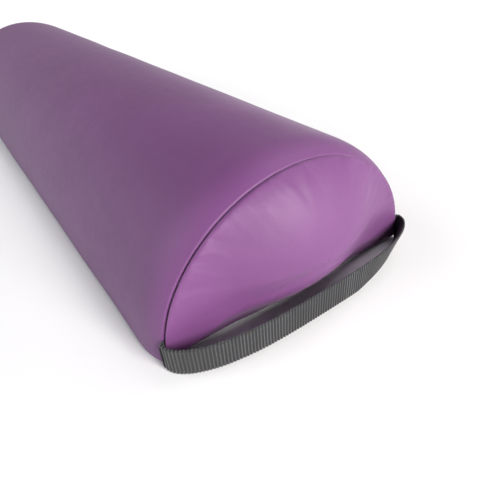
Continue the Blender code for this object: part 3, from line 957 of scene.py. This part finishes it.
# ---- stage
def glow_with_distance(pale):
    """The floor glows faintly far from the bolster, so that it stays white where the lamps don't reach."""
    tree = pale.node_tree
    shader = tree.nodes["Principled BSDF"]
    place = add(tree, "ShaderNodeTexCoord")
    far = add(tree, "ShaderNodeVectorMath", operation="LENGTH")
    glow = add(tree, "ShaderNodeMapRange")
    glow.inputs["From Min"].default_value = 0.8
    glow.inputs["From Max"].default_value = 3.0
    glow.inputs["To Max"].default_value = 0.85
    tree.links.new(place.outputs["Object"], far.inputs[0])
    tree.links.new(far.outputs["Value"], glow.inputs["Value"])
    tree.links.new(glow.outputs["Result"], shader.inputs["Emission Strength"])
    shader.inputs["Emission Color"].default_value = (1, 1, 1, 1)


def make_stage():
    """A pale floor, a room that is brightest at the horizon, soft lamps around the strap's end, and one more
    on the floor behind the bolster."""
    reach, level = 30, -0.0003
    corners = [(x * reach, y * reach, level) for x, y in ((-1, -1), (1, -1), (1, 1), (-1, 1))]
    floor = mesh_object("floor", corners, [(0, 1, 2, 3)])
    tones = ((0.88, 0.88, 0.88), (0.91, 0.91, 0.91))
    pale = surface("floor", tones, 3.0, (0.55, 0.7), [("Noise", 300.0, 0.05, 0.0002)])
    floor.data.materials.append(pale)
    glow_with_distance(pale)
    world = bpy.data.worlds.new("studio")
    bpy.context.scene.world = world
    world.use_nodes = True
    tree = world.node_tree
    place = add(tree, "ShaderNodeTexCoord")
    split = add(tree, "ShaderNodeSeparateXYZ")
    height = add(tree, "ShaderNodeMapRange")
    height.inputs["From Min"].default_value = -0.1
    ramp = add(tree, "ShaderNodeValToRGB")
    low, high = ramp.color_ramp.elements
    low.color, low.position = (0.95, 0.95, 0.95, 1), 0.10
    high.color, high.position = (0.046, 0.050, 0.056, 1), 0.55
    ramp.color_ramp.elements.new(0.26).color = (0.24, 0.24, 0.245, 1)
    tree.links.new(place.outputs["Generated"], split.inputs["Vector"])
    tree.links.new(split.outputs["Z"], height.inputs["Value"])
    tree.links.new(height.outputs["Result"], ramp.inputs["Fac"])
    tree.links.new(ramp.outputs["Color"], tree.nodes["Background"].inputs["Color"])
    tree.nodes["Background"].inputs["Strength"].default_value = 1.0
    lamp("window", (2.4, 0.35, 1.05), 1.2, 98, (1.0, 0.97, 0.96))
    lamp("ceiling", (0.2, 1.5, 2.4), 1.6, 18)
    lamp("wall", (-0.8, -2.2, 1.6), 2.0, 38, (0.93, 0.96, 1.0))
    lamp("backdrop", (-1.1, 1.5, 2.2), 1.6, 45, aim=(-1.1, 1.6, 0), spread=65)
    bpy.context.scene.view_settings.view_transform = "Standard"


def lamp(name, place, size, power, colour=(1, 1, 1), aim=(SEAM_X, 0, 0.05), spread=180):
    """A square soft light, aimed at the strap's end or elsewhere; spread is its beam's width in degrees."""
    data = bpy.data.lights.new(name, "AREA")
    data.size = size
    data.energy = power
    data.color = colour
    data.spread = math.radians(spread)
    made = bpy.data.objects.new(name, data)
    made.location = place
    made.rotation_euler = (Vector(aim) - Vector(place)).to_track_quat("-Z", "Y").to_euler()
    bpy.context.collection.objects.link(made)


# ---- the whole
def main():
    """Makes every material and every piece."""
    vinyl = surface("vinyl", ((0.134, 0.039, 0.145), (0.156, 0.047, 0.168)), 14.0, (0.50, 0.64),
                    [("Noise", 240.0, 0.22, 0.0004), ("Voronoi", 1150.0, 0.20, 0.00012)], sheen=0.08)
    fibre = surface("fibre", ((0.80, 0.80, 0.78), (0.92, 0.92, 0.90)), 60.0, (0.85, 0.95),
                    [("Noise", 180.0, 0.6, 0.0012), ("Noise", 1500.0, 0.5, 0.0003)], sheen=0.3)
    foam = surface("foam", ((0.66, 0.60, 0.40), (0.76, 0.71, 0.52)), 30.0, (0.88, 0.96),
                   [("Voronoi", 900.0, 0.5, 0.0005), ("Noise", 120.0, 0.3, 0.0006)])
    thread = surface("thread", ((0.045, 0.016, 0.055), (0.075, 0.028, 0.088)), 500.0, (0.5, 0.7),
                     [("Wave", 900.0, 0.6, 0.0001)], sheen=0.2)
    # The webbing's colours run from a painted groove shade to a painted ridge highlight, picked by the rib
    # attribute.
    webbing = surface("webbing", ((0.003, 0.0033, 0.0045), (0.100, 0.102, 0.108)), 900.0, (0.30, 0.46),
                      [("Wave", 700.0, 0.45, 0.00012), ("Noise", 2600.0, 0.4, 0.00008)],
                      sheen=0.15, painted_shade="rib")
    black = surface("strap_thread", ((0.010, 0.010, 0.012), (0.022, 0.022, 0.026)), 500.0, (0.5, 0.65),
                    [("Wave", 900.0, 0.5, 0.0001)], sheen=0.2)
    tape = surface("zip_tape", ((0.040, 0.018, 0.048), (0.066, 0.032, 0.076)), 300.0, (0.7, 0.85),
                   [("Wave", 420.0, 0.5, 0.0002), ("Noise", 1800.0, 0.4, 0.0001)], sheen=0.2)
    nylon = surface("zip_teeth", ((0.080, 0.038, 0.090), (0.100, 0.050, 0.112)), 90.0, (0.32, 0.42),
                    [("Noise", 900.0, 0.1, 0.00005)])
    metal = surface("zip_metal", ((0.52, 0.52, 0.53), (0.60, 0.60, 0.60)), 200.0, (0.24, 0.40),
                    [("Noise", 900.0, 0.12, 0.00005)], metallic=1.0, stretch=(0.15, 1, 1))
    make_top_cover(vinyl)
    for place, side, seed in (("handle", 1, 11), ("far", -1, 12)):
        make_end_cover("end_cover_" + place, side, "end_panel_" + place, vinyl, seed)
        make_end_pad("end_filling_" + place, side, "end_pad_" + place, fibre, seed + 20)
        make_end_stitches("end_stitches_" + place, side, "end_thread_" + place, thread)
    make_wadding(fibre)
    make_foam(foam)
    for place, side, seed in (("front", -1, 13), ("back", 1, 14)):
        make_base_cover("base_cover_" + place, "base_panel_" + place, side, vinyl, seed)
        make_side_stitches("side_stitches_" + place, side, "side_thread_" + place, thread)
        make_bartack("bar_stitches_" + place, side, "bartack_" + place, black)
        make_tape("tape_" + place, "zip_tape_" + place, side, tape)
        make_coil("coil_" + place, "zip_teeth_" + place, side, nylon)
        make_zip_stitches("zip_stitches_" + place, "zip_thread_" + place, side, thread)
    make_strap(webbing)
    make_slider(metal)
    make_pull(metal)
    make_stop("stop_top", "zip_top_stop", metal)
    make_stop("stop_bottom", "zip_bottom_stop", metal)


make_camera()
make_stage()
main()
